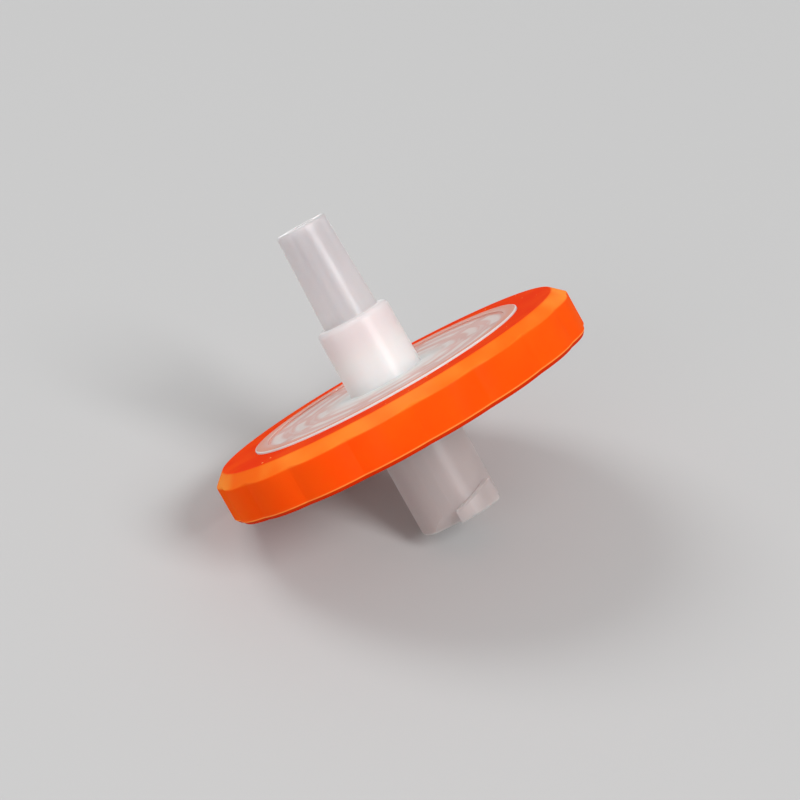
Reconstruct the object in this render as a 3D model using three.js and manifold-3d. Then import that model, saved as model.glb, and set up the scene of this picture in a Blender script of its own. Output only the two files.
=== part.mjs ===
// A 25 mm class syringe filter: two polypropylene housing halves clamp a membrane disc, and an overmoulded
// ring with shallow grip lobes holds the rims of both. Millimetres, +Z up. The filter lies as it comes to
// rest on a flat surface, on the ring's lower edge and the end of the inlet port.
// Each piece is drawn about the filter's own axis, with z = 0 on the ring's upper face and z rising to the
// outlet tip.
import * as THREE from "three";
import { mergeVertices } from "three/addons/utils/BufferGeometryUtils.js";
import Module from "manifold-3d";

// ---- Driving dimensions ----

const FIT_GAP = 0.05; // between pieces that press on each other
const LUER_TAPER = 0.03; // radius gained per millimetre of length, the 6 % Luer cone

// Overmoulded ring
const RING_CREST_RADIUS = 15;
const RING_HEIGHT = 3.89;
const LOBE_COUNT = 18;
const LOBE_DEPTH = 0.22; // from the crests down to the creases between the lobes
const RING_CHAMFER = 0.96; // width, on a crest, of the cone that bevels the upper face's edge
const RING_CHAMFER_DROP = 0.88;
const RING_EDGE_ROUND = 0.35;
const RING_BREADTH = 3.8; // from the crests in to the window, the inner edge of both lips
const GRIP_DEPTH = 2.15; // how far the groove reaches out past the window round the rims
const UPPER_LIP = 0.95;
const LOWER_LIP = 1.09;

// Outlet half
const TIP_RADIUS = 2;
const TIP_BORE_RADIUS = 1.05;
const TIP_ROUND = 0.2;
const TUBE_LENGTH = 7.75;
const COLLAR_RADIUS = 2.93;
const COLLAR_HEIGHT = 5.35;
const COLLAR_ROUND = 0.4;
const COLLAR_DRAFT = 0.05; // how much wider the collar is at its foot
const OUTLET_PLATE = 1.1;
const OUTLET_BORDER_WIDTH = 1.1;
const BORDER_HEIGHT = 0.14; // the raised border inside each lip
const BORDER_ROUND = 0.1;

// Inlet half
const PORT_RADIUS = 3.27;
const PORT_LENGTH = 8.57; // from the window plate to the open end
const PORT_ROUND = 0.25;
const MOUTH_RADIUS = 2.15;
const MOUTH_CHAMFER = 0.2;
const SOCKET_DEPTH = 8;
const INLET_BORE_RADIUS = 1.3;
const INLET_PLATE = 0.92;
const INLET_RECESS = 0.72; // from the ring's lower face up to the window plate
const INLET_BORDER_WIDTH = 0.69;

// Locking lugs on the port
const LUG_COUNT = 2;
const LUG_RADIUS = 3.85;
const LUG_SPAN = THREE.MathUtils.degToRad(58);
const LUG_START = THREE.MathUtils.degToRad(133.5);
const LUG_THICKNESS = 1.04; // at the blunt end
const LUG_LEAD = 5; // rise of the thread in one turn
const LUG_EDGE = 0.2;
const FLAT_LAG = THREE.MathUtils.degToRad(11.5); // from the middle of an entry flat to the lug after it
const FLAT_DEPTH = 0.53;
const FLAT_HEIGHT = 1.04;

// Membrane, the chambers either side of it and the ribs that hold it off both plates
const CHAMBER_INSET = 0.85; // from the rim of the raised border in to the chamber wall
const MEMBRANE_CLAMP = 1.3; // width of the membrane's edge held between the two lands
const MEMBRANE_THICKNESS = 0.2;
const MEMBRANE_SIDE_GAP = 0.15;
const RIB_SECTORS = 8;
const RIB_TURN = THREE.MathUtils.degToRad(4.9);
const RIB_WIDTH = 0.8;
const RIB_ROOT = 0.05; // how far each rib runs into its plate
const RIB_ROWS = 4;
const FIRST_ROW_STEP = 0.45; // from where the spokes leave room for a rib out to the innermost row
const RIB_WALL_GAP = 0.59; // from the outermost row to the chamber wall
const SPOKE_WIDTH = 1.55; // the clear way between two sectors

// Facets
const HOUSING_SEGMENTS = 64;
const LOBE_SEGMENTS = 6;
const CORNER_STEPS = 3;
const RIB_CURVE_STEPS = 2;
const LUG_STEPS = 8;
const LEAN_HALVINGS = 40;
const CUTTING_MARGIN = 2; // how far a cutting shape runs past what it cuts

const COLOURS = {
  polypropylene: { color: 0xd9cdc9, roughness: 0.3, metalness: 0 },
  membrane: { color: 0xf2f0ea, roughness: 0.8, metalness: 0 },
  ring: { color: 0xf04808, roughness: 0.32, metalness: 0 },
};

// ---- Levels and radii that follow from them ----

const windowRadius = RING_CREST_RADIUS - RING_BREADTH;
const grooveRadius = windowRadius + GRIP_DEPTH;
const rimRadius = grooveRadius - FIT_GAP;
const borderRadius = windowRadius - FIT_GAP;
const chamberRadius = borderRadius - CHAMBER_INSET;
const membraneRadius = chamberRadius + MEMBRANE_CLAMP;
const pocketRadius = membraneRadius + MEMBRANE_SIDE_GAP;
const spokeReach = (SPOKE_WIDTH + RIB_WIDTH) / 2;
const firstRowRadius = spokeReach / Math.sin(Math.PI / RIB_SECTORS) + FIRST_ROW_STEP;
const lastRowRadius = chamberRadius - RIB_WALL_GAP - RIB_WIDTH / 2;
const rowPitch = (lastRowRadius - firstRowRadius) / (RIB_ROWS - 1);
const rimTop = -UPPER_LIP - FIT_GAP;
const rimBottom = LOWER_LIP + FIT_GAP - RING_HEIGHT;
const inletFace = INLET_RECESS - RING_HEIGHT;
const chamberDepth = (-inletFace - OUTLET_PLATE - INLET_PLATE - MEMBRANE_THICKNESS - 2 * FIT_GAP) / 2;
const outletLand = -OUTLET_PLATE - chamberDepth;
const membraneTop = outletLand - FIT_GAP;
const membraneBottom = membraneTop - MEMBRANE_THICKNESS;
const inletLand = membraneBottom - FIT_GAP;
const portEnd = inletFace - PORT_LENGTH;
const tipEnd = COLLAR_HEIGHT + TUBE_LENGTH;
const lobeAngle = (2 * Math.PI) / LOBE_COUNT;

// ---- Solids ----

const wasm = await Module();
wasm.setup();

function solid(geometry) {
  const bare = new THREE.BufferGeometry();
  bare.setAttribute("position", geometry.getAttribute("position"));
  bare.setIndex(geometry.getIndex());
  const merged = mergeVertices(bare);
  return new wasm.Manifold(
    new wasm.Mesh({
      numProp: 3,
      vertProperties: merged.getAttribute("position").array,
      triVerts: new Uint32Array(merged.getIndex().array),
    }),
  );
}

function geometryOf(body) {
  const mesh = body.getMesh();
  const geometry = new THREE.BufferGeometry();
  geometry.setAttribute("position", new THREE.BufferAttribute(mesh.vertProperties, 3));
  geometry.setIndex(new THREE.BufferAttribute(mesh.triVerts, 1));
  const faceted = geometry.toNonIndexed();
  faceted.computeVertexNormals();
  return faceted;
}

function point(radius, height) {
  return new THREE.Vector2(radius, height);
}

// A quarter turn or less of a profile, from one direction to another about its centre.
function corner(centreRadius, centreHeight, radius, fromDegrees, toDegrees) {
  const points = [];
  for (let step = 0; step <= CORNER_STEPS; step += 1) {
    const angle = THREE.MathUtils.degToRad(
      THREE.MathUtils.lerp(fromDegrees, toDegrees, step / CORNER_STEPS),
    );
    points.push(point(centreRadius + radius * Math.cos(angle), centreHeight + radius * Math.sin(angle)));
  }
  return points;
}

// A body of revolution about the filter's axis. The profile runs anticlockwise and closes on itself.
function revolve(profile, segments) {
  const geometry = new THREE.LatheGeometry([...profile, profile[0].clone()], segments);
  geometry.rotateX(Math.PI / 2);
  return solid(geometry);
}

// ---- Support ribs ----

function roundEnd(outline, radius, direction, from) {
  const x = radius * Math.cos(direction);
  const y = radius * Math.sin(direction);
  outline.absarc(x, y, RIB_WIDTH / 2, from, from + Math.PI, false);
}

// The outline of one rib: an arc of even width with round ends, centred on the direction given.
function ribOutline(radius, direction) {
  const halfWidth = RIB_WIDTH / 2;
  const halfAngle = Math.PI / RIB_SECTORS - Math.asin(spokeReach / radius);
  const start = direction - halfAngle;
  const end = direction + halfAngle;
  const outline = new THREE.Shape();
  outline.absarc(0, 0, radius + halfWidth, start, end, false);
  roundEnd(outline, radius, end, end);
  outline.absarc(0, 0, radius - halfWidth, end, start, true);
  roundEnd(outline, radius, start, start + Math.PI);
  return outline;
}

// All the ribs of one half, from inside its plate to the membrane's level.
function ribs(fromHeight, toHeight) {
  const bodies = [];
  for (let row = 0; row < RIB_ROWS; row += 1) {
    const radius = firstRowRadius + row * rowPitch;
    for (let sector = 0; sector < RIB_SECTORS; sector += 1) {
      const direction = RIB_TURN + (sector * 2 * Math.PI) / RIB_SECTORS;
      const geometry = new THREE.ExtrudeGeometry(ribOutline(radius, direction), {
        depth: toHeight - fromHeight,
        bevelEnabled: false,
        curveSegments: RIB_CURVE_STEPS,
      });
      geometry.translate(0, 0, fromHeight);
      bodies.push(solid(geometry));
    }
  }
  return bodies;
}

// ---- Outlet half: Luer slip tube, collar, window plate and upper rim ----

function outletHousing() {
  const collarFoot = COLLAR_RADIUS + COLLAR_DRAFT;
  const tubeRoot = TIP_RADIUS + LUER_TAPER * TUBE_LENGTH;
  const body = revolve(
    [
      point(TIP_BORE_RADIUS, -OUTLET_PLATE),
      point(chamberRadius, -OUTLET_PLATE),
      point(chamberRadius, outletLand),
      point(pocketRadius, outletLand),
      point(pocketRadius, membraneBottom),
      point(rimRadius, membraneBottom),
      point(rimRadius, rimTop),
      point(borderRadius, rimTop),
      ...corner(borderRadius - BORDER_ROUND, BORDER_HEIGHT - BORDER_ROUND, BORDER_ROUND, 0, 90),
      point(borderRadius - OUTLET_BORDER_WIDTH, BORDER_HEIGHT),
      point(borderRadius - OUTLET_BORDER_WIDTH, 0),
      point(collarFoot, 0),
      ...corner(COLLAR_RADIUS - COLLAR_ROUND, COLLAR_HEIGHT - COLLAR_ROUND, COLLAR_ROUND, 0, 90),
      point(tubeRoot, COLLAR_HEIGHT),
      ...corner(TIP_RADIUS - TIP_ROUND, tipEnd - TIP_ROUND, TIP_ROUND, 0, 90),
      point(TIP_BORE_RADIUS, tipEnd),
    ],
    HOUSING_SEGMENTS,
  );
  return wasm.Manifold.union([body, ...ribs(outletLand, -OUTLET_PLATE + RIB_ROOT)]);
}

// ---- Inlet half: Luer lock port, window plate and lower rim ----

// One entry flat: a block whose face leans in from the port's side to the open end, just before a lug.
function entryFlat(direction) {
  const lean = Math.atan2(FLAT_DEPTH, FLAT_HEIGHT);
  const block = new THREE.BoxGeometry(PORT_RADIUS, 2 * PORT_RADIUS, 2 * FLAT_HEIGHT);
  block.translate(PORT_RADIUS / 2, 0, 0);
  block.rotateY(lean);
  block.translate(PORT_RADIUS - FLAT_DEPTH, 0, portEnd);
  block.rotateZ(direction);
  return solid(block);
}

// One locking lug: its section is swept round the port while the upper edge climbs along the thread.
function lug(start) {
  const inner = PORT_RADIUS - FLAT_DEPTH;
  const sections = [];
  for (let step = 0; step <= LUG_STEPS; step += 1) {
    const turn = (LUG_SPAN * step) / LUG_STEPS;
    const top = portEnd + LUG_THICKNESS + (LUG_LEAD * turn) / (2 * Math.PI);
    const profile = [
      point(inner, portEnd),
      point(LUG_RADIUS - LUG_EDGE, portEnd),
      point(LUG_RADIUS, portEnd + LUG_EDGE),
      point(LUG_RADIUS, top - LUG_EDGE),
      point(LUG_RADIUS - LUG_EDGE, top),
      point(inner, top),
    ];
    const direction = new THREE.Vector3(Math.cos(start + turn), Math.sin(start + turn), 0);
    sections.push(profile.map(({ x, y }) => direction.clone().multiplyScalar(x).setZ(y)));
  }
  return solid(loft(sections));
}

// A closed skin over convex sections that hold equally many points.
function loft(sections) {
  const count = sections[0].length;
  const last = (sections.length - 1) * count;
  const triangles = [];
  for (let base = 0; base < last; base += count) {
    for (let edge = 0; edge < count; edge += 1) {
      const from = base + edge;
      const to = base + ((edge + 1) % count);
      triangles.push(from, from + count, to, to, from + count, to + count);
    }
  }
  for (let edge = 1; edge + 1 < count; edge += 1) {
    triangles.push(0, edge, edge + 1, last, last + edge + 1, last + edge);
  }
  const geometry = new THREE.BufferGeometry().setFromPoints(sections.flat());
  geometry.setIndex(triangles);
  return geometry;
}

function inletHousing() {
  const socketEnd = MOUTH_RADIUS - LUER_TAPER * SOCKET_DEPTH;
  const body = revolve(
    [
      point(MOUTH_RADIUS + MOUTH_CHAMFER, portEnd),
      ...corner(PORT_RADIUS - PORT_ROUND, portEnd + PORT_ROUND, PORT_ROUND, -90, 0),
      point(PORT_RADIUS, inletFace),
      point(borderRadius - INLET_BORDER_WIDTH, inletFace),
      point(borderRadius - INLET_BORDER_WIDTH, inletFace - BORDER_HEIGHT),
      ...corner(borderRadius - BORDER_ROUND, inletFace - BORDER_HEIGHT + BORDER_ROUND, BORDER_ROUND, -90, 0),
      point(borderRadius, rimBottom),
      point(rimRadius, rimBottom),
      point(rimRadius, inletLand),
      point(chamberRadius, inletLand),
      point(chamberRadius, inletFace + INLET_PLATE),
      point(INLET_BORE_RADIUS, inletFace + INLET_PLATE),
      point(INLET_BORE_RADIUS, portEnd + SOCKET_DEPTH),
      point(socketEnd, portEnd + SOCKET_DEPTH),
      point(MOUTH_RADIUS - LUER_TAPER * MOUTH_CHAMFER, portEnd + MOUTH_CHAMFER),
    ],
    HOUSING_SEGMENTS,
  );
  const lugs = [];
  const flats = [];
  for (let index = 0; index < LUG_COUNT; index += 1) {
    const start = LUG_START + (index * 2 * Math.PI) / LUG_COUNT;
    lugs.push(lug(start));
    flats.push(entryFlat(start - FLAT_LAG));
  }
  const port = body.subtract(wasm.Manifold.union(flats));
  return wasm.Manifold.union([port, ...lugs, ...ribs(inletFace + INLET_PLATE - RIB_ROOT, inletLand)]);
}

// ---- Membrane ----

function membrane() {
  return revolve(
    [
      point(0, membraneBottom),
      point(membraneRadius, membraneBottom),
      point(membraneRadius, membraneTop),
      point(0, membraneTop),
    ],
    HOUSING_SEGMENTS,
  );
}

// ---- Overmoulded ring ----

// The radius of one grip lobe, an arc through its two creases and its crest.
function lobeRadius() {
  const crease = RING_CREST_RADIUS - LOBE_DEPTH;
  const halfChord = crease * Math.sin(lobeAngle / 2);
  const rise = RING_CREST_RADIUS - crease * Math.cos(lobeAngle / 2);
  return (halfChord * halfChord + rise * rise) / (2 * rise);
}

// The lobed outline, one arc for each lobe, with a crease on the +X axis.
function ringOutline() {
  const radius = lobeRadius();
  const offset = RING_CREST_RADIUS - radius;
  const halfTurn = Math.asin(((RING_CREST_RADIUS - LOBE_DEPTH) * Math.sin(lobeAngle / 2)) / radius);
  const outline = new THREE.Shape();
  for (let index = 0; index < LOBE_COUNT; index += 1) {
    const crest = (index + 0.5) * lobeAngle;
    const x = offset * Math.cos(crest);
    const y = offset * Math.sin(crest);
    outline.absarc(x, y, radius, crest - halfTurn, crest + halfTurn, false);
  }
  return outline;
}

function overmouldRing() {
  const lobed = new THREE.ExtrudeGeometry(ringOutline(), {
    depth: RING_HEIGHT,
    bevelThickness: RING_EDGE_ROUND,
    bevelSize: RING_EDGE_ROUND,
    bevelOffset: -RING_EDGE_ROUND,
    bevelSegments: CORNER_STEPS,
    curveSegments: LOBE_SEGMENTS / 2,
  });
  lobed.translate(0, 0, RING_EDGE_ROUND - RING_HEIGHT);
  const outer = RING_CREST_RADIUS + CUTTING_MARGIN;
  const faceRadius = RING_CREST_RADIUS - RING_CHAMFER;
  const chamferSlope = RING_CHAMFER_DROP / RING_CHAMFER;
  const blank = revolve(
    [
      point(windowRadius, -RING_HEIGHT - CUTTING_MARGIN),
      point(outer, -RING_HEIGHT - CUTTING_MARGIN),
      point(outer, (faceRadius - outer) * chamferSlope),
      point(faceRadius, 0),
      point(windowRadius, 0),
      point(windowRadius, -UPPER_LIP),
      point(grooveRadius, -UPPER_LIP),
      point(grooveRadius, LOWER_LIP - RING_HEIGHT),
      point(windowRadius, LOWER_LIP - RING_HEIGHT),
    ],
    LOBE_COUNT * LOBE_SEGMENTS,
  );
  return blank.intersect(solid(lobed));
}

// ---- Resting place ----

// How far a body reaches below the filter's centre once the filter leans over towards -X.
function reachBelow(body, lean) {
  const vertices = body.getMesh().vertProperties;
  let reach = 0;
  for (let index = 0; index < vertices.length; index += 3) {
    const height = vertices[index + 2] * Math.cos(lean) + vertices[index] * Math.sin(lean);
    reach = Math.max(reach, -height);
  }
  return reach;
}

// The lean at which the inlet half and the ring touch a flat surface together, found by halving. Upright,
// the filter stands on its inlet half, and lying over, on its ring.
function restingLean(inlet, ring) {
  let least = 0;
  let most = Math.PI / 2;
  for (let step = 0; step < LEAN_HALVINGS; step += 1) {
    const lean = (least + most) / 2;
    if (reachBelow(inlet, lean) > reachBelow(ring, lean)) {
      least = lean;
    } else {
      most = lean;
    }
  }
  return least;
}

function node(name, body, material) {
  const mesh = new THREE.Mesh(geometryOf(body), new THREE.MeshStandardMaterial(COLOURS[material]));
  mesh.name = name;
  return mesh;
}

const inlet = inletHousing();
const ring = overmouldRing();
const leaning = new THREE.Group();
leaning.add(node("outlet_housing", outletHousing(), "polypropylene"));
leaning.add(node("inlet_housing", inlet, "polypropylene"));
leaning.add(node("membrane", membrane(), "membrane"));
leaning.add(node("overmould_ring", ring, "ring"));
leaning.rotation.y = -restingLean(inlet, ring);

const syringeFilter = new THREE.Group();
syringeFilter.add(leaning);
syringeFilter.updateMatrixWorld(true);

// The origin lies on the resting surface, under the middle of the filter's box.
const box = new THREE.Box3().setFromObject(syringeFilter, true);
const middle = box.getCenter(new THREE.Vector3());
leaning.position.set(-middle.x, -middle.y, -box.min.z);

export default syringeFilter;
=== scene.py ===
import math
import random

import bmesh
import bpy
import numpy as np
from mathutils import Matrix, Vector


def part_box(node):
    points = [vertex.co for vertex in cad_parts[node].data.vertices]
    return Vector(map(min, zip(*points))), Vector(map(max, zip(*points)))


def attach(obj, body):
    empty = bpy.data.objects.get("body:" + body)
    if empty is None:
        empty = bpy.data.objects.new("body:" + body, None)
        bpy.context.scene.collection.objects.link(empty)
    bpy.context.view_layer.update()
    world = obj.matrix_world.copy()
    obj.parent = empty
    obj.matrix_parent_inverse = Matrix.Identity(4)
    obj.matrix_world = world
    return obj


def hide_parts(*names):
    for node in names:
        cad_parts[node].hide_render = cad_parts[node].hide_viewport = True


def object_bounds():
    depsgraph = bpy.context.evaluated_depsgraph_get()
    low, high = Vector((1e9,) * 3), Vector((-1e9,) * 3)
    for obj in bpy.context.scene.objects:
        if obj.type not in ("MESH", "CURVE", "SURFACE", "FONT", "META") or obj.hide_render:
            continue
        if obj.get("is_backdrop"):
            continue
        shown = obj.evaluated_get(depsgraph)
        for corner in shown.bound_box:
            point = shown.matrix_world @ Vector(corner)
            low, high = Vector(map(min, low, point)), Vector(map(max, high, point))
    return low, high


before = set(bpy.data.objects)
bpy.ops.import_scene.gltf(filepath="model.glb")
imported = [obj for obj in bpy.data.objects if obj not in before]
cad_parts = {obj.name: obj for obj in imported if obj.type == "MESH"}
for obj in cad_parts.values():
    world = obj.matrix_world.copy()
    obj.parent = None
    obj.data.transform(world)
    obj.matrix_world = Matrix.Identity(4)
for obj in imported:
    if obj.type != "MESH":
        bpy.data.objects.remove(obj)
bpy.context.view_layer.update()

# A syringe filter that leans on its ring's lower edge and on the end of its inlet port. Fine pieces stand
# for the faceted CAD nodes. They are drawn in millimetres about the filter's own axis, with z = 0 on the
# ring's upper face and z rising to the outlet tip, and are then placed in the frame.

MM = 0.001
FIT_GAP = 0.05
LUER_TAPER = 0.03

# Ring
RING_CREST_RADIUS = 15.0
RING_HEIGHT = 3.89
LOBE_COUNT = 18
LOBE_DEPTH = 0.22
CHAMFER_WIDTH = 0.96
CHAMFER_DROP = 0.88
FOOT_WIDTH = 0.26  # the bevel round the ring's lower edge, where the CAD has a rounding
FOOT_HEIGHT = 0.34
RING_EDGE_ROUND = 0.12
FOOT_EDGE_ROUND = 0.06
RING_BREADTH = 3.8
GRIP_DEPTH = 2.15
UPPER_LIP = 0.95
LOWER_LIP = 1.09
CREASE_SOFTNESS = 0.012
LIP_SEAL = 0.01  # the overmould's lips close on the borders, which the CAD parts by the fit gap

# Moulding specks on the ring's upper face
SPECK_COUNT = 16
SPECK_SIZES = (0.05, 0.1)
SPECK_SEED = 5
SPECK_MARGIN = 0.3
GRAIN_FLATNESS = 0.6

# Outlet half
TIP_NIB_AZIMUTH = math.radians(205)
TIP_NIB_SIZE = 0.09
TIP_NIB_INSET = 0.12
TIP_RADIUS = 2.0
TIP_BORE_RADIUS = 1.05
TIP_ROUND = 0.2
BORE_EDGE = 0.08
TUBE_LENGTH = 7.75
COLLAR_RADIUS = 2.93
COLLAR_HEIGHT = 5.35
COLLAR_ROUND = 0.4
COLLAR_DRAFT = 0.05
COLLAR_FOOT_ROUND = 0.12
TUBE_FOOT_ROUND = 0.08
OUTLET_PLATE = 1.1
OUTLET_BORDER_WIDTH = 1.1
BORDER_HEIGHT = 0.14

# Inlet half
PORT_RADIUS = 3.27
PORT_LENGTH = 8.57
PORT_ROUND = 0.25
PORT_FOOT_ROUND = 0.15
MOUTH_RADIUS = 2.15
MOUTH_CHAMFER = 0.2
SOCKET_DEPTH = 8.0
INLET_BORE_RADIUS = 1.3
INLET_PLATE = 0.92
INLET_RECESS = 0.72
INLET_BORDER_WIDTH = 0.69

# Locking lugs
LUG_COUNT = 2
LUG_RADIUS = 3.85
LUG_SPAN = math.radians(58)
LUG_START = math.radians(133.5)
LUG_THICKNESS = 1.04
LUG_LEAD = 5.0
LUG_EDGE = 0.2
FLAT_LAG = math.radians(11.5)
FLAT_DEPTH = 0.53
FLAT_HEIGHT = 1.04

# Membrane, chambers and ribs
CHAMBER_INSET = 0.85
MEMBRANE_CLAMP = 1.3
MEMBRANE_THICKNESS = 0.2
MEMBRANE_SIDE_GAP = 0.15
RIB_SECTORS = 8
RIB_TURN = math.radians(4.9)
RIB_WIDTH = 0.8
RIB_ROOT = 0.05  # a rib starts this deep in its plate
RIB_ROWS = 4
FIRST_ROW_STEP = 0.45
RIB_WALL_GAP = 0.59
SPOKE_WIDTH = 1.55

# Radii and levels that follow
face_radius = RING_CREST_RADIUS - CHAMFER_WIDTH
window_radius = RING_CREST_RADIUS - RING_BREADTH
groove_radius = window_radius + GRIP_DEPTH
rim_radius = groove_radius - FIT_GAP
border_radius = window_radius - FIT_GAP
lip_radius = border_radius + LIP_SEAL
chamber_radius = border_radius - CHAMBER_INSET
pocket_radius = chamber_radius + MEMBRANE_CLAMP + MEMBRANE_SIDE_GAP
spoke_reach = (SPOKE_WIDTH + RIB_WIDTH) / 2
first_row_radius = spoke_reach / math.sin(math.pi / RIB_SECTORS) + FIRST_ROW_STEP
last_row_radius = chamber_radius - RIB_WALL_GAP - RIB_WIDTH / 2
row_pitch = (last_row_radius - first_row_radius) / (RIB_ROWS - 1)
rim_top = -UPPER_LIP - FIT_GAP
rim_bottom = LOWER_LIP + FIT_GAP - RING_HEIGHT
inlet_face = INLET_RECESS - RING_HEIGHT
chamber_depth = (-inlet_face - OUTLET_PLATE - INLET_PLATE - MEMBRANE_THICKNESS - 2 * FIT_GAP) / 2
outlet_land = -OUTLET_PLATE - chamber_depth
membrane_bottom = outlet_land - FIT_GAP - MEMBRANE_THICKNESS
inlet_land = membrane_bottom - FIT_GAP
port_end = inlet_face - PORT_LENGTH
tip_end = COLLAR_HEIGHT + TUBE_LENGTH
lobe_angle = 2 * math.pi / LOBE_COUNT

# Faces of the window: how far past the border's height and the foot's radius they are looked for
WINDOW_MARGIN = 0.05
WINDOW_FOOT_GAP = 0.2

# Roundings that the pieces share
FINE_EDGE = 0.05
BORDER_EDGE = 0.06
SOFT_EDGE = 0.1

# Smoothness
LOBE_STEPS = 12
SEGMENTS = 192
CORNER_STEPS = 5
LUG_STEPS = 24
RIB_ARC_STEPS = 12
RIB_END_STEPS = 8
GRAIN_SUBDIVISIONS = 2
HOLD = 0.02  # extra points this far past a rounding keep the faces beside it flat under smooth shading
SHARP_ANGLE = math.radians(28)


# ---- Placing: from the filter's own axis to the frame ----

def filter_placement():
    """The CAD membrane gives the axis, and the CAD ring's upper face gives the height along it."""
    disc = np.array([v.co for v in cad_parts["membrane"].data.vertices])
    ring = np.array([v.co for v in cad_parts["overmould_ring"].data.vertices])
    tip = (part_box("outlet_housing")[0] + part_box("outlet_housing")[1]) / 2
    middle = disc.mean(axis=0)
    axis = Vector(np.linalg.svd(disc - middle)[2][2])
    if axis.dot(tip - Vector(middle)) < 0:
        axis.negate()
    face_height = float(((ring - middle) @ np.array(axis)).max())
    across = Vector((0, 1, 0))
    side = across.cross(axis).normalized()
    turn = Matrix((side, across, axis)).transposed()
    return Matrix.LocRotScale(Vector(middle) + face_height * axis, turn, Vector((MM, MM, MM)))


PLACE = filter_placement()


# ---- Mesh building ----

def piece_from(name, vertices, faces):
    mesh = bpy.data.meshes.new(name)
    mesh.from_pydata(vertices, [], faces)
    mesh.validate()
    piece = bpy.data.objects.new(name, mesh)
    bpy.context.scene.collection.objects.link(piece)
    return piece


def rounded(corners):
    """Points of a closed outline from corners of (radius, height, rounding)."""
    points = []
    count = len(corners)
    for index, (radius, height, rounding) in enumerate(corners):
        here = Vector((radius, height))
        if rounding == 0:
            points.append(here)
            continue
        back = (Vector(corners[index - 1][:2]) - here).normalized()
        ahead = (Vector(corners[(index + 1) % count][:2]) - here).normalized()
        half = back.angle(ahead) / 2
        centre = here + (back + ahead).normalized() * rounding / math.sin(half)
        start = here + back * rounding / math.tan(half)
        end = here + ahead * rounding / math.tan(half)
        bend = math.copysign(math.pi - 2 * half, ahead.cross(back))
        points.append(start + back * HOLD)
        for step in range(CORNER_STEPS + 1):
            points.append(centre + Matrix.Rotation(bend * step / CORNER_STEPS, 2) @ (start - centre))
        points.append(end + ahead * HOLD)
    return points


def sweep(name, azimuths, outline_at):
    """A closed skin round the axis. outline_at gives the section's points at an azimuth."""
    vertices = []
    for azimuth in azimuths:
        for point in outline_at(azimuth):
            vertices.append((point.x * math.cos(azimuth), point.x * math.sin(azimuth), point.y))
    across = len(azimuths)
    along = len(vertices) // across
    faces = []
    for column in range(across):
        here = column * along
        there = ((column + 1) % across) * along
        for row in range(along):
            up = (row + 1) % along
            faces.append((here + row, there + row, there + up, here + up))
    return piece_from(name, vertices, faces)


def revolve(name, corners):
    section = rounded(corners)
    azimuths = [2 * math.pi * step / SEGMENTS for step in range(SEGMENTS)]
    return sweep(name, azimuths, lambda azimuth: section)


def prism(outline, low, high, base):
    """Vertices and faces of an upright prism, its first vertex numbered base."""
    count = len(outline)
    vertices = [(x, y, low) for x, y in outline] + [(x, y, high) for x, y in outline]
    faces = [tuple(base + i for i in reversed(range(count)))]
    faces.append(tuple(base + count + i for i in range(count)))
    for i in range(count):
        j = (i + 1) % count
        faces.append((base + i, base + j, base + count + j, base + count + i))
    return vertices, faces


def combine(piece, tool, operation):
    """Joins or cuts one piece with another and removes the tool."""
    modifier = piece.modifiers.new(operation.lower(), "BOOLEAN")
    modifier.operation = operation
    modifier.solver = "EXACT"
    modifier.object = tool
    bpy.context.view_layer.update()
    evaluated = piece.evaluated_get(bpy.context.evaluated_depsgraph_get())
    mesh = bpy.data.meshes.new_from_object(evaluated)
    piece.modifiers.clear()
    old = piece.data
    piece.data = mesh
    bpy.data.meshes.remove(old)
    bpy.data.objects.remove(tool)


def on_window(place):
    """Whether a face belongs to the window plate's outer side or its border, on either half."""
    x, y, height = place
    outlet_side = rim_top < height < BORDER_HEIGHT + WINDOW_MARGIN
    inlet_side = inlet_face - BORDER_HEIGHT - WINDOW_MARGIN < height < rim_bottom
    foot = COLLAR_RADIUS if outlet_side else PORT_RADIUS
    return (outlet_side or inlet_side) and foot + WINDOW_FOOT_GAP < math.hypot(x, y) < border_radius


def settle(piece, materials, node):
    """Places a finished piece in the frame, shades it and hides the CAD node that it stands for.

    A second material, where there is one, goes on the window plate.
    """
    piece.data.materials.clear()
    for material in materials:
        piece.data.materials.append(material)
    for face in piece.data.polygons:
        face.material_index = 1 if len(materials) > 1 and on_window(face.center) else 0
    piece.data.transform(PLACE)
    piece.data.update()
    piece.data.shade_smooth()
    piece.data.set_sharp_from_angle(angle=SHARP_ANGLE)
    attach(piece, "root")
    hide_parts(node)


def grains(name, places):
    """Small flattened balls, each given by its radius from the axis, azimuth, height and size."""
    bm = bmesh.new()
    for radius, azimuth, height, size in places:
        x = radius * math.cos(azimuth)
        y = radius * math.sin(azimuth)
        shape = Matrix.Diagonal((size, size, size * GRAIN_FLATNESS, 1))
        stance = Matrix.Translation((x, y, height)) @ shape
        bmesh.ops.create_icosphere(bm, subdivisions=GRAIN_SUBDIVISIONS, radius=1, matrix=stance)
    mesh = bpy.data.meshes.new(name)
    bm.to_mesh(mesh)
    bm.free()
    piece = bpy.data.objects.new(name, mesh)
    bpy.context.scene.collection.objects.link(piece)
    return piece


# ---- Ribs ----

def on_circle(radius, angle, centre=(0, 0)):
    return centre[0] + radius * math.cos(angle), centre[1] + radius * math.sin(angle)


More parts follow.
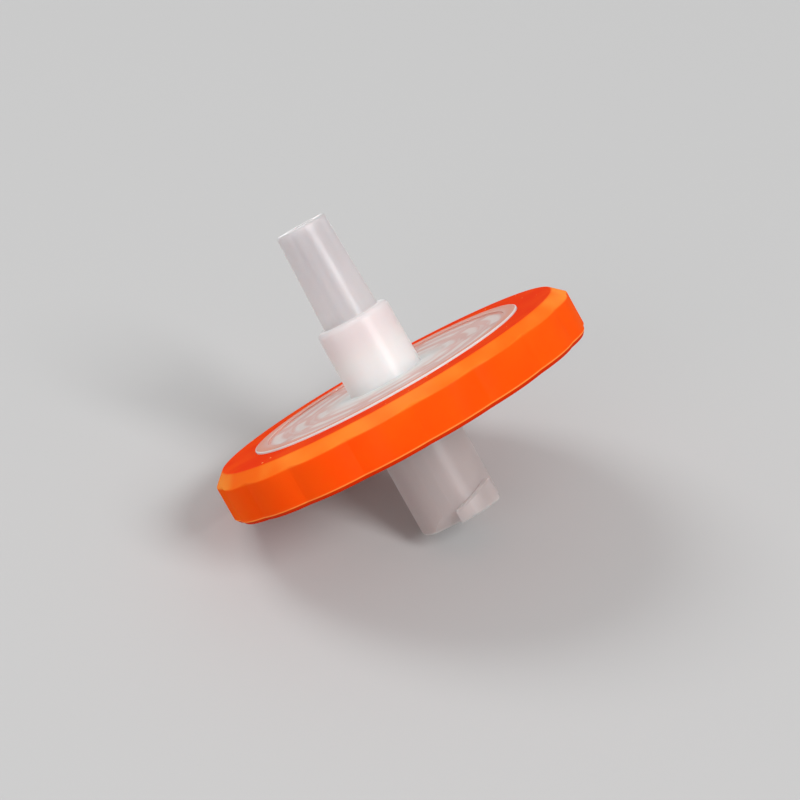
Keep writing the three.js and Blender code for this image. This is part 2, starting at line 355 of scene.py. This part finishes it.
def rib_outline(radius, direction):
    """An arc with round ends. It stops short of the spokes on both sides of its sector."""
    half_width = RIB_WIDTH / 2
    half_angle = math.pi / RIB_SECTORS - math.asin(spoke_reach / radius)
    start = direction - half_angle
    end = direction + half_angle
    arc = [start + (end - start) * step / RIB_ARC_STEPS for step in range(RIB_ARC_STEPS + 1)]
    turns = [math.pi * step / RIB_END_STEPS for step in range(1, RIB_END_STEPS)]
    outline = [on_circle(radius + half_width, angle) for angle in arc]
    outline += [on_circle(half_width, end + turn, on_circle(radius, end)) for turn in turns]
    outline += [on_circle(radius - half_width, angle) for angle in reversed(arc)]
    outline += [on_circle(half_width, start + math.pi + turn, on_circle(radius, start)) for turn in turns]
    return outline


def ribs(low, high):
    vertices = []
    faces = []
    for row in range(RIB_ROWS):
        for sector in range(RIB_SECTORS):
            direction = RIB_TURN + 2 * math.pi * sector / RIB_SECTORS
            outline = rib_outline(first_row_radius + row * row_pitch, direction)
            more, skin = prism(outline, low, high, len(vertices))
            vertices += more
            faces += skin
    return piece_from("ribs", vertices, faces)


# ---- Housing halves ----

def outlet_housing(materials):
    tube_root = TIP_RADIUS + LUER_TAPER * TUBE_LENGTH
    corners = [
        (TIP_BORE_RADIUS, -OUTLET_PLATE, SOFT_EDGE),
        (chamber_radius, -OUTLET_PLATE, 0),
        (chamber_radius, outlet_land, 0),
        (pocket_radius, outlet_land, 0),
        (pocket_radius, membrane_bottom, 0),
        (rim_radius, membrane_bottom, FINE_EDGE),
        (rim_radius, rim_top, FINE_EDGE),
        (border_radius, rim_top, 0),
        (border_radius, BORDER_HEIGHT, SOFT_EDGE),
        (border_radius - OUTLET_BORDER_WIDTH, BORDER_HEIGHT, BORDER_EDGE),
        (border_radius - OUTLET_BORDER_WIDTH, 0, FINE_EDGE),
        (COLLAR_RADIUS + COLLAR_DRAFT, 0, COLLAR_FOOT_ROUND),
        (COLLAR_RADIUS, COLLAR_HEIGHT, COLLAR_ROUND),
        (tube_root, COLLAR_HEIGHT, TUBE_FOOT_ROUND),
        (TIP_RADIUS, tip_end, TIP_ROUND),
        (TIP_BORE_RADIUS, tip_end, BORE_EDGE),
    ]
    piece = revolve("outlet_half", corners)
    combine(piece, ribs(outlet_land, -OUTLET_PLATE + RIB_ROOT), "UNION")
    nib = (TIP_RADIUS - TIP_NIB_INSET, TIP_NIB_AZIMUTH, tip_end, TIP_NIB_SIZE)
    combine(piece, grains("nib", [nib]), "UNION")
    settle(piece, materials, "outlet_housing")


def entry_flats():
    """Two blocks whose inner faces lean in from the port's side to its open end."""
    lean = math.atan2(FLAT_DEPTH, FLAT_HEIGHT)
    vertices = []
    faces = []
    for index in range(LUG_COUNT):
        direction = LUG_START + 2 * math.pi * index / LUG_COUNT - FLAT_LAG
        turn = Matrix.Rotation(direction, 4, "Z")
        shift = Matrix.Translation((PORT_RADIUS - FLAT_DEPTH, 0, port_end))
        stance = turn @ shift @ Matrix.Rotation(lean, 4, "Y")
        width = PORT_RADIUS
        outline = [(0, -width), (width, -width), (width, width), (0, width)]
        more, skin = prism(outline, -2 * FLAT_HEIGHT, 2 * FLAT_HEIGHT, len(vertices))
        vertices += [tuple(stance @ Vector(v)) for v in more]
        faces += skin
    return piece_from("flats", vertices, faces)


def lugs():
    inner = PORT_RADIUS - FLAT_DEPTH
    vertices = []
    faces = []
    for index in range(LUG_COUNT):
        start = LUG_START + 2 * math.pi * index / LUG_COUNT
        first = len(vertices)
        for step in range(LUG_STEPS + 1):
            turn = LUG_SPAN * step / LUG_STEPS
            top = port_end + LUG_THICKNESS + LUG_LEAD * turn / (2 * math.pi)
            section = rounded([
                (inner, port_end, 0),
                (LUG_RADIUS, port_end, LUG_EDGE),
                (LUG_RADIUS, top, LUG_EDGE),
                (inner, top, 0),
            ])
            direction = start + turn
            vertices += [(p.x * math.cos(direction), p.x * math.sin(direction), p.y) for p in section]
        count = len(section)
        for step in range(LUG_STEPS):
            for row in range(count):
                here = first + step * count + row
                beside = first + step * count + (row + 1) % count
                faces.append((here, here + count, beside + count, beside))
        last = first + LUG_STEPS * count
        faces.append(tuple(first + row for row in range(count)))
        faces.append(tuple(last + row for row in reversed(range(count))))
    return piece_from("lugs", vertices, faces)


def inlet_housing(materials):
    corners = [
        (MOUTH_RADIUS + MOUTH_CHAMFER, port_end, FINE_EDGE),
        (PORT_RADIUS, port_end, PORT_ROUND),
        (PORT_RADIUS, inlet_face, PORT_FOOT_ROUND),
        (border_radius - INLET_BORDER_WIDTH, inlet_face, FINE_EDGE),
        (border_radius - INLET_BORDER_WIDTH, inlet_face - BORDER_HEIGHT, BORDER_EDGE),
        (border_radius, inlet_face - BORDER_HEIGHT, SOFT_EDGE),
        (border_radius, rim_bottom, 0),
        (rim_radius, rim_bottom, FINE_EDGE),
        (rim_radius, inlet_land, FINE_EDGE),
        (chamber_radius, inlet_land, 0),
        (chamber_radius, inlet_face + INLET_PLATE, 0),
        (INLET_BORE_RADIUS, inlet_face + INLET_PLATE, SOFT_EDGE),
        (INLET_BORE_RADIUS, port_end + SOCKET_DEPTH, 0),
        (MOUTH_RADIUS - LUER_TAPER * SOCKET_DEPTH, port_end + SOCKET_DEPTH, SOFT_EDGE),
        (MOUTH_RADIUS - LUER_TAPER * MOUTH_CHAMFER, port_end + MOUTH_CHAMFER, FINE_EDGE),
    ]
    piece = revolve("inlet_half", corners)
    combine(piece, entry_flats(), "DIFFERENCE")
    combine(piece, lugs(), "UNION")
    combine(piece, ribs(inlet_face + INLET_PLATE - RIB_ROOT, inlet_land), "UNION")
    settle(piece, materials, "inlet_housing")


# ---- Ring ----

def lobe_arc():
    """Radius of one lobe's arc and how far its centre stands from the axis."""
    crease = RING_CREST_RADIUS - LOBE_DEPTH
    half_chord = crease * math.sin(lobe_angle / 2)
    rise = RING_CREST_RADIUS - crease * math.cos(lobe_angle / 2)
    radius = (half_chord ** 2 + rise ** 2) / (2 * rise)
    return radius, RING_CREST_RADIUS - radius


def ring_radius(azimuth):
    """The lobed outline: the outer of two neighbouring lobes, blended a little where they meet."""
    radius, offset = lobe_arc()
    from_crest = (azimuth % lobe_angle) - lobe_angle / 2
    own = offset * math.cos(from_crest) + math.sqrt(radius ** 2 - (offset * math.sin(from_crest)) ** 2)
    beyond = lobe_angle - abs(from_crest)
    other = offset * math.cos(beyond) + math.sqrt(radius ** 2 - (offset * math.sin(beyond)) ** 2)
    return (own + other) / 2 + math.hypot((own - other) / 2, CREASE_SOFTNESS)


def ring_section(azimuth):
    outer = ring_radius(azimuth)
    chamfer_drop = (outer - face_radius) * CHAMFER_DROP / CHAMFER_WIDTH
    return rounded([
        (lip_radius, -RING_HEIGHT, SOFT_EDGE),
        (outer - FOOT_WIDTH, -RING_HEIGHT, RING_EDGE_ROUND),
        (outer, FOOT_HEIGHT - RING_HEIGHT, FOOT_EDGE_ROUND),
        (outer, -chamfer_drop, RING_EDGE_ROUND),
        (face_radius, 0, RING_EDGE_ROUND),
        (lip_radius, 0, FINE_EDGE),
        (lip_radius, -UPPER_LIP, 0),
        (groove_radius, -UPPER_LIP, 0),
        (groove_radius, LOWER_LIP - RING_HEIGHT, 0),
        (lip_radius, LOWER_LIP - RING_HEIGHT, 0),
    ])


def overmould_ring(material):
    near_crease = (0.02, 0.05, 0.1)
    across_lobe = [step / LOBE_STEPS for step in range(2, LOBE_STEPS - 1)]
    shares = [0, *near_crease, *across_lobe, *(1 - share for share in reversed(near_crease))]
    azimuths = [(lobe + share) * lobe_angle for lobe in range(LOBE_COUNT) for share in shares]
    piece = sweep("grip_ring", azimuths, ring_section)
    draw = random.Random(SPECK_SEED)
    specks = []
    for index in range(SPECK_COUNT):
        radius = draw.uniform(lip_radius + SPECK_MARGIN, face_radius - SPECK_MARGIN)
        specks.append((radius, draw.uniform(0, 2 * math.pi), 0, draw.uniform(*SPECK_SIZES)))
    combine(piece, grains("specks", specks), "UNION")
    settle(piece, [material], "overmould_ring")


# ---- Materials ----
# Colours are linear red, green and blue. Lengths are in millimetres about the filter's axis, and a pair of
# them says where a change of colour starts and ends.

# The first colour is a painted glow at the collar's foot.
CLEAR_FOOT_PAINTED_GLOW = (1.0, 0.99, 0.96)
CLEAR_COLLAR = (0.86, 0.80, 0.805)
CLEAR_TUBE_ROOT = (0.94, 0.90, 0.915)
CLEAR_TUBE_TIP = (0.85, 0.815, 0.83)
# Painted shade: the port is darker than the collar, most of all at its root beside the ring.
CLEAR_PORT_ROOT_PAINTED_SHADE = (0.68, 0.60, 0.585)
CLEAR_PORT_END_PAINTED_SHADE = (0.76, 0.67, 0.65)
# Painted highlight on the lugs' flanks and round the port's open end.
CLEAR_EDGE_HIGHLIGHT = (0.99, 0.91, 0.89)
# Painted shade inside the tip's bore and the port's socket.
CLEAR_HOLLOW_PAINTED_SHADE = (0.42, 0.41, 0.43)
CLEAR_WAVE_HEIGHT = 0.004
COLLAR_GLOW = (0.8, 4.4)
SHOULDER_BLEND = (-0.1, 0.25)
TIP_BLEND = 1.5
PORT_BLEND = 0.5
MOUTH_EDGE = (0.22, 0.08)
MOUTH_EDGE_SHARE = 0.7
LUG_ROOT = (0.02, 0.1)
LUG_EDGE_BLEND = (-0.02, -0.08)
BORE_WALL = (0.15, 0.4)
BORE_DEPTH = (0.2, 0.8)
SOCKET_WALL = (0.1, 0.4)
THICK_WALL_CLEARNESS = 0.1
THIN_WALL_CLEARNESS = 0.5

WINDOW_PLAIN = (0.87, 0.47, 0.41)
WINDOW_RIB = (0.98, 0.76, 0.71)
# Painted glints in short streaks on the window plate.
WINDOW_GLINT = (1.0, 0.97, 0.95)
WINDOW_GLOW = (1.0, 0.98, 0.95)
WINDOW_BORDER = (0.97, 0.28, 0.16)
# Painted highlight along the border's outer rim.
WINDOW_RIM_HIGHLIGHT = (1.0, 0.98, 0.96)
WINDOW_WAVE_HEIGHT = 0.004
RIB_SOFTNESS = 0.18
STREAK_TURNS = 3.0  # noise cells round the circle, per radian
STREAK_ROWS = 2.0  # noise cells outward, per millimetre
STREAK_LEVELS = (0.54, 0.64)
STREAK_SHARE = 0.22
GLOW_REACH = 3.5
BORDER_BLEND = 0.3
BORDER_TINT_END = 0.4
BORDER_SHARES = (0.3, 0.85)
BORDER_RAMP = 0.4
RIM_EDGE = (-0.12, -0.07)

ORANGE_SIDE = ((0.93, 0.045, 0.001), (0.99, 0.125, 0.005))
# Painted shade: the flat upper face is a deeper red than the side.
ORANGE_FACE_PAINTED_SHADE = ((0.93, 0.034, 0.0005), (0.98, 0.058, 0.001))
# Painted highlight: the chamfer's cone is a lighter orange all round.
ORANGE_CONE_HIGHLIGHT = ((1.0, 0.14, 0.010), (1.0, 0.24, 0.028))
# Painted highlight: a thin light line along the lower edge of the side.
ORANGE_EDGE_HIGHLIGHT = (1.0, 0.26, 0.05)
# Painted shade: the foot bevel and the underside below the lower edge are darker.
ORANGE_UNDERSIDE_SHADE = (0.62, 0.025, 0.001)
ORANGE_SPECK = (1.0, 0.30, 0.10)
ORANGE_PATCH_LEVELS = (0.35, 0.65)
ORANGE_GRAIN_HEIGHT = 0.006
CONE_BLEND = 0.12
SIDE_BLEND = (-0.06, 0.1)
EDGE_LINE = (0.07, 0.0)
UNDERSIDE_START = (-0.03, -0.1)
SPECK_RISE = (0.01, 0.03)

MEMBRANE_TONES = ((0.80, 0.78, 0.76), (0.92, 0.91, 0.89))
MEMBRANE_FIBRE_HEIGHT = 0.01

NOISE_LEVELS = (0.3, 0.7)  # nearly all of a noise texture's values lie between these


def principled(name, **values):
    material = bpy.data.materials.new(name)
    material.use_nodes = True
    shader = material.node_tree.nodes["Principled BSDF"]
    for socket, value in values.items():
        shader.inputs[socket.replace("_", " ")].default_value = value
    return material, shader


def local_place(material):
    """Texture coordinates in millimetres about the filter's own axis."""
    tree = material.node_tree
    place = tree.nodes.new("ShaderNodeTexCoord")
    mapping = tree.nodes.new("ShaderNodeMapping")
    mapping.vector_type = "TEXTURE"
    mapping.inputs["Location"].default_value = PLACE.translation
    mapping.inputs["Rotation"].default_value = PLACE.to_euler()
    mapping.inputs["Scale"].default_value = (MM, MM, MM)
    tree.links.new(place.outputs["Object"], mapping.inputs["Vector"])
    return mapping.outputs["Vector"]


def noise(material, place, scale, detail, roughness=0.5):
    texture = material.node_tree.nodes.new("ShaderNodeTexNoise")
    texture.inputs["Scale"].default_value = scale
    texture.inputs["Detail"].default_value = detail
    texture.inputs["Roughness"].default_value = roughness
    material.node_tree.links.new(place, texture.inputs["Vector"])
    return texture.outputs["Fac"]


def compute(owner, operation, *values):
    """One Math node in a material or world. Each value is a number or another node's output."""
    node = owner.node_tree.nodes.new("ShaderNodeMath")
    node.operation = operation
    for socket, value in zip(node.inputs, values):
        if isinstance(value, (int, float)):
            socket.default_value = value
        else:
            owner.node_tree.links.new(value, socket)
    return node.outputs["Value"]


def polar(material, place):
    """Radius, azimuth and height about the third axis of some coordinates."""
    split = material.node_tree.nodes.new("ShaderNodeSeparateXYZ")
    material.node_tree.links.new(place, split.inputs["Vector"])
    x, y, z = split.outputs
    x_squared = compute(material, "MULTIPLY", x, x)
    y_squared = compute(material, "MULTIPLY", y, y)
    radius = compute(material, "SQRT", compute(material, "ADD", x_squared, y_squared))
    return radius, compute(material, "ARCTAN2", y, x), z


def fade(material, value, start, end, low=0.0, high=1.0):
    """Runs smoothly from low to high while a value goes from start to end."""
    node = material.node_tree.nodes.new("ShaderNodeMapRange")
    node.interpolation_type = "SMOOTHSTEP"
    node.inputs["From Min"].default_value = start
    node.inputs["From Max"].default_value = end
    node.inputs["To Min"].default_value = low
    node.inputs["To Max"].default_value = high
    material.node_tree.links.new(value, node.inputs["Value"])
    return node.outputs["Result"]


def fade_about(material, value, level, offsets, low=0.0, high=1.0):
    """A fade whose start and end are given as offsets from a level."""
    return fade(material, value, level + offsets[0], level + offsets[1], low, high)


def tint(material, amount, below, above):
    """Mixes two colours. Each is a tuple or another node's output."""
    node = material.node_tree.nodes.new("ShaderNodeMix")
    node.data_type = "RGBA"
    material.node_tree.links.new(amount, node.inputs["Factor"])
    for socket, colour in ((node.inputs[6], below), (node.inputs[7], above)):
        if isinstance(colour, tuple):
            socket.default_value = (*colour, 1)
        else:
            material.node_tree.links.new(colour, socket)
    return node.outputs[2]


def bump(material, shader, height, distance):
    """Lifts the surface by up to a distance in millimetres."""
    node = material.node_tree.nodes.new("ShaderNodeBump")
    node.inputs["Distance"].default_value = distance * MM
    material.node_tree.links.new(height, node.inputs["Height"])
    material.node_tree.links.new(node.outputs["Normal"], shader.inputs["Normal"])


def roughen(material, shader, pattern, smooth, rough):
    """Roughness that wanders between two values with a noise."""
    level = fade(material, pattern, *NOISE_LEVELS, smooth, rough)
    material.node_tree.links.new(level, shader.inputs["Roughness"])


def rib_pattern(material, radius, azimuth):
    """1 where a rib lies behind the window plate and 0 between the ribs."""
    sector = 2 * math.pi / RIB_SECTORS
    edge = (-RIB_SOFTNESS, RIB_SOFTNESS)
    turned = compute(material, "SUBTRACT", azimuth, RIB_TURN)
    wrapped = compute(material, "WRAP", turned, sector / 2, -sector / 2)
    off_centre = compute(material, "ABSOLUTE", wrapped)
    to_spoke = compute(material, "SUBTRACT", sector / 2, off_centre)
    off_spoke = compute(material, "MULTIPLY", radius, compute(material, "SINE", to_spoke))
    clear_of_spoke = fade_about(material, off_spoke, SPOKE_WIDTH / 2, edge)
    past_first = compute(material, "SUBTRACT", radius, first_row_radius)
    wrapped = compute(material, "WRAP", past_first, row_pitch / 2, -row_pitch / 2)
    on_row = fade_about(material, compute(material, "ABSOLUTE", wrapped), RIB_WIDTH / 2, edge, 1.0, 0.0)
    inside = fade_about(material, radius, last_row_radius, (RIB_WIDTH / 2, RIB_WIDTH), 1.0, 0.0)
    outside = fade_about(material, radius, first_row_radius, (-RIB_WIDTH, -RIB_WIDTH / 2))
    result = compute(material, "MULTIPLY", clear_of_spoke, on_row)
    result = compute(material, "MULTIPLY", result, inside)
    return compute(material, "MULTIPLY", result, outside)


def streaks(material, place, radius):
    """Short streaks that run round the axis, for painted glints."""
    split = material.node_tree.nodes.new("ShaderNodeSeparateXYZ")
    material.node_tree.links.new(place, split.inputs["Vector"])
    join = material.node_tree.nodes.new("ShaderNodeCombineXYZ")
    for index in range(2):
        bearing = compute(material, "DIVIDE", split.outputs[index], radius)
        turned = compute(material, "MULTIPLY", bearing, STREAK_TURNS)
        material.node_tree.links.new(turned, join.inputs[index])
    outward = compute(material, "MULTIPLY", radius, STREAK_ROWS)
    material.node_tree.links.new(outward, join.inputs[2])
    return fade(material, noise(material, join.outputs["Vector"], 1.0, 1), *STREAK_LEVELS)


def clear_colour(material, radius, height):
    """The clear plastic's colour, and 1 where its wall is thin. The collar's foot is painted near-white, a
    painted glow.
    """
    # Painted glow: the collar is lighter towards its foot.
    up_collar = fade(material, height, *COLLAR_GLOW)
    collar = tint(material, up_collar, CLEAR_FOOT_PAINTED_GLOW, CLEAR_COLLAR)
    up_tube = fade(material, height, COLLAR_HEIGHT, tip_end - TIP_BLEND)
    tube = tint(material, up_tube, CLEAR_TUBE_ROOT, CLEAR_TUBE_TIP)
    in_tube = fade_about(material, height, COLLAR_HEIGHT, SHOULDER_BLEND)
    above = tint(material, in_tube, collar, tube)
    # Painted shade: the port is darker, most of all at its root by the ring.
    down_port = fade(material, height, inlet_face, port_end)
    port = tint(material, down_port, CLEAR_PORT_ROOT_PAINTED_SHADE, CLEAR_PORT_END_PAINTED_SHADE)
    # Painted highlight: the lugs' flanks and the port's open end are lighter.
    off_port = fade_about(material, radius, PORT_RADIUS, LUG_ROOT)
    within_lug = fade_about(material, radius, LUG_RADIUS, LUG_EDGE_BLEND)
    port = tint(material, compute(material, "MULTIPLY", off_port, within_lug), port, CLEAR_EDGE_HIGHLIGHT)
    mouth_highlight = fade_about(material, height, port_end, MOUTH_EDGE, 0.0, MOUTH_EDGE_SHARE)
    port = tint(material, mouth_highlight, port, CLEAR_EDGE_HIGHLIGHT)
    in_port = fade(material, height, inlet_face, inlet_face - PORT_BLEND)
    # Painted shade: the bore and the socket are darker inside.
    in_bore = compute(
        material,
        "MULTIPLY",
        fade_about(material, radius, TIP_BORE_RADIUS, BORE_WALL, 1.0, 0.0),
        fade(material, height, tip_end - BORE_DEPTH[0], tip_end - BORE_DEPTH[1]),
    )
    in_socket = compute(
        material,
        "MULTIPLY",
        fade_about(material, radius, MOUTH_RADIUS, SOCKET_WALL, 1.0, 0.0),
        in_port,
    )
    hollow = compute(material, "MAXIMUM", in_bore, in_socket)
    colour = tint(material, hollow, tint(material, in_port, above, port), CLEAR_HOLLOW_PAINTED_SHADE)
    return colour, compute(material, "MAXIMUM", in_tube, in_port)


def polypropylene():
    material, shader = principled(
        "natural_polypropylene",
        IOR=1.49,
        Alpha=0.80,
        Sheen_Weight=0.9,
        Sheen_Roughness=0.25,
        Subsurface_Weight=1.0,
        Subsurface_Radius=(1.0, 0.85, 0.8),
        Subsurface_Scale=0.0010,
    )
    links = material.node_tree.links
    place = local_place(material)
    radius, azimuth, height = polar(material, place)
    colour, thin_wall = clear_colour(material, radius, height)
    clearness = fade(material, thin_wall, 0.0, 1.0, THICK_WALL_CLEARNESS, THIN_WALL_CLEARNESS)
    links.new(colour, shader.inputs["Base Color"])
    links.new(clearness, shader.inputs["Transmission Weight"])
    roughen(material, shader, noise(material, place, 0.9, 2), 0.29, 0.36)
    bump(material, shader, noise(material, place, 0.45, 2), CLEAR_WAVE_HEIGHT)
    return material


def window_polypropylene():
    """The same plastic on the thin window plates, which show the ribs and take up the ring's colour."""
    material, shader = principled(
        "window_polypropylene",
        IOR=1.49,
        Specular_IOR_Level=0.0,
        Coat_Weight=0.4,
        Coat_Roughness=0.08,
        Transmission_Weight=0.1,
        Alpha=0.8,
        Subsurface_Weight=0.6,
        Subsurface_Radius=(1.0, 0.85, 0.8),
        Subsurface_Scale=0.0008,
    )
    place = local_place(material)
    radius, azimuth, height = polar(material, place)
    plate = tint(material, rib_pattern(material, radius, azimuth), WINDOW_PLAIN, WINDOW_RIB)
    border_start = border_radius - OUTLET_BORDER_WIDTH
    in_border = fade(material, radius, border_start - BORDER_BLEND, border_start)
    # Painted glints: light streaks on the plate, fading out on the border.
    streak_share = fade(material, in_border, 0.0, 1.0, STREAK_SHARE, 0.0)
    streaked = compute(material, "MULTIPLY", streaks(material, place, radius), streak_share)
    plate = tint(material, streaked, plate, WINDOW_GLINT)
    foot_glow = fade(material, radius, COLLAR_RADIUS + GLOW_REACH, COLLAR_RADIUS)
    plate = tint(material, foot_glow, plate, WINDOW_GLOW)
    near_ring = fade(material, radius, border_start, border_radius - BORDER_TINT_END, *BORDER_SHARES)
    near_ring = compute(material, "MULTIPLY", near_ring, fade(material, in_border, 0.0, BORDER_RAMP))
    colour = tint(material, near_ring, plate, WINDOW_BORDER)
    # Painted highlight: a light line at the border's outer rim.
    colour = tint(material, fade_about(material, radius, border_radius, RIM_EDGE), colour, WINDOW_RIM_HIGHLIGHT)
    material.node_tree.links.new(colour, shader.inputs["Base Color"])
    roughen(material, shader, noise(material, place, 0.9, 2), 0.29, 0.36)
    bump(material, shader, noise(material, place, 0.8, 2), WINDOW_WAVE_HEIGHT)
    return material


def orange_colour(material, place):
    """Painted shade on the flat face and underside, painted highlights on the cone and lower edge."""
    radius, azimuth, height = polar(material, place)
    side = tint(material, noise(material, place, 0.12, 3), *ORANGE_SIDE)
    patches = fade(material, noise(material, place, 0.16, 2), *ORANGE_PATCH_LEVELS)
    # Painted shade: the flat face is a deeper red, with patches at random.
    face = tint(material, patches, *ORANGE_FACE_PAINTED_SHADE)
    # Painted highlight: the cone is lighter.
    cone = tint(material, patches, *ORANGE_CONE_HIGHLIGHT)
    on_cone = fade_about(material, radius, face_radius, (-CONE_BLEND, CONE_BLEND))
    above_side = fade_about(material, height, -CHAMFER_DROP, SIDE_BLEND)
    colour = tint(material, above_side, side, tint(material, on_cone, face, cone))
    lower_edge = FOOT_HEIGHT - RING_HEIGHT
    # Painted highlight: a thin light line at the lower edge of the side.
    colour = tint(material, fade_about(material, height, lower_edge, EDGE_LINE), colour, ORANGE_EDGE_HIGHLIGHT)
    # Painted shade: darker below the lower edge.
    under = fade_about(material, height, lower_edge, UNDERSIDE_START)
    colour = tint(material, under, colour, ORANGE_UNDERSIDE_SHADE)
    return tint(material, fade(material, height, *SPECK_RISE), colour, ORANGE_SPECK)


def orange_plastic():
    material, shader = principled(
        "orange_polypropylene",
        IOR=1.49,
        Specular_IOR_Level=0.0,
        Coat_Weight=0.04,
        Coat_Roughness=0.14,
        Subsurface_Weight=0.35,
        Subsurface_Radius=(1.0, 0.18, 0.03),
        Subsurface_Scale=0.0012,
    )
    place = local_place(material)
    material.node_tree.links.new(orange_colour(material, place), shader.inputs["Base Color"])
    roughen(material, shader, noise(material, place, 1.2, 3), 0.24, 0.36)
    bump(material, shader, noise(material, place, 1.6, 3), ORANGE_GRAIN_HEIGHT)
    return material


def membrane_material():
    material, shader = principled("microporous_membrane", Roughness=0.85)
    fibre = noise(material, local_place(material), 5, 6, 0.7)
    material.node_tree.links.new(tint(material, fibre, *MEMBRANE_TONES), shader.inputs["Base Color"])
    bump(material, shader, fibre, MEMBRANE_FIBRE_HEIGHT)
    return material


# ---- Stage, light and camera, in metres ----

FLOOR_SIZE = 12.0
FLOOR_TONES = ((0.50, 0.50, 0.50), (0.53, 0.53, 0.53))
FLOOR_FAR_TONE = (0.96, 0.96, 0.96)
FLOOR_FAR_REACH = (1.0, 3.0)
WORLD_LIGHT = 0.46
BACKDROP_TONE = 0.54
LAMP_AIM = (0, 0, 0.01)
CAMERA_AZIMUTH = math.radians(38.55)
CAMERA_ELEVATION = math.radians(31.16)
CAMERA_DISTANCE = 0.187
CAMERA_ROLL = math.radians(-1.88)
CAMERA_LENS = 112.5
AIM_RIGHT = 1.05 * MM  # the frame's middle lies this far right of the ring's middle, and lower
AIM_DOWN = 1.58 * MM


def floor():
    half = FLOOR_SIZE / 2
    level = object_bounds()[0][2]
    corners = [(-half, -half, level), (half, -half, level), (half, half, level), (-half, half, level)]
    piece = piece_from("floor", corners, [(0, 1, 2, 3)])
    material, shader = principled("pale_floor", Roughness=0.9, Specular_IOR_Level=0.1)
    place = material.node_tree.nodes.new("ShaderNodeTexCoord").outputs["Object"]
    near = tint(material, noise(material, place, 3, 2), *FLOOR_TONES)
    distance, azimuth, height = polar(material, place)
    tone = tint(material, fade(material, distance, *FLOOR_FAR_REACH), near, FLOOR_FAR_TONE)
    material.node_tree.links.new(tone, shader.inputs["Base Color"])
    piece.data.materials.append(material)
    piece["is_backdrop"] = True


def area_light(name, place, size, power):
    light = bpy.data.lights.new(name, "AREA")
    light.shape = "DISK"
    light.size = size
    light.energy = power
    lamp = bpy.data.objects.new(name, light)
    lamp.location = place
    lamp.rotation_euler = (Vector(LAMP_AIM) - Vector(place)).to_track_quat("-Z", "Y").to_euler()
    bpy.context.scene.collection.objects.link(lamp)


def backdrop():
    """An even white light, which the camera, gloss and glass see a little paler."""
    world = bpy.data.worlds.new("studio")
    world.use_nodes = True
    background = world.node_tree.nodes["Background"]
    background.inputs["Color"].default_value = (1, 1, 1, 1)
    path = world.node_tree.nodes.new("ShaderNodeLightPath")
    seen = compute(world, "ADD", path.outputs["Is Camera Ray"], path.outputs["Is Glossy Ray"])
    seen = compute(world, "MAXIMUM", seen, path.outputs["Is Transmission Ray"])
    strength = compute(world, "MULTIPLY_ADD", seen, BACKDROP_TONE - WORLD_LIGHT, WORLD_LIGHT)
    world.node_tree.links.new(strength, background.inputs["Strength"])
    bpy.context.scene.world = world


def lights():
    backdrop()
    area_light("key", (1.14, -0.21, 1.02), 0.60, 14.9)
    area_light("fill", (0.30, -1.26, 0.48), 0.90, 3.8)
    area_light("top", (-0.72, -0.06, 1.08), 0.66, 5.4)


def camera():
    centre = PLACE.translation
    level = Vector((math.sin(CAMERA_AZIMUTH), -math.cos(CAMERA_AZIMUTH), 0))
    toward = level * math.cos(CAMERA_ELEVATION) + Vector((0, 0, math.sin(CAMERA_ELEVATION)))
    place = centre + toward * CAMERA_DISTANCE
    turn = (-toward).to_track_quat("-Z", "Y").to_matrix() @ Matrix.Rotation(CAMERA_ROLL, 3, "Z")
    aim = centre + turn @ Vector((AIM_RIGHT, -AIM_DOWN, 0))
    turn = (aim - place).to_track_quat("-Z", "Y").to_matrix() @ Matrix.Rotation(CAMERA_ROLL, 3, "Z")
    data = bpy.data.cameras.new("camera")
    data.lens = CAMERA_LENS
    data.clip_start = 0.01
    eye = bpy.data.objects.new("camera", data)
    eye.matrix_world = Matrix.LocRotScale(place, turn, None)
    bpy.context.scene.collection.objects.link(eye)
    bpy.context.scene.camera = eye


camera()
clear_plastics = [polypropylene(), window_polypropylene()]
outlet_housing(clear_plastics)
inlet_housing(clear_plastics)
overmould_ring(orange_plastic())
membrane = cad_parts["membrane"]
membrane.data.materials.clear()
membrane.data.materials.append(membrane_material())
floor()
lights()
bpy.context.scene.view_settings.view_transform = "Standard"
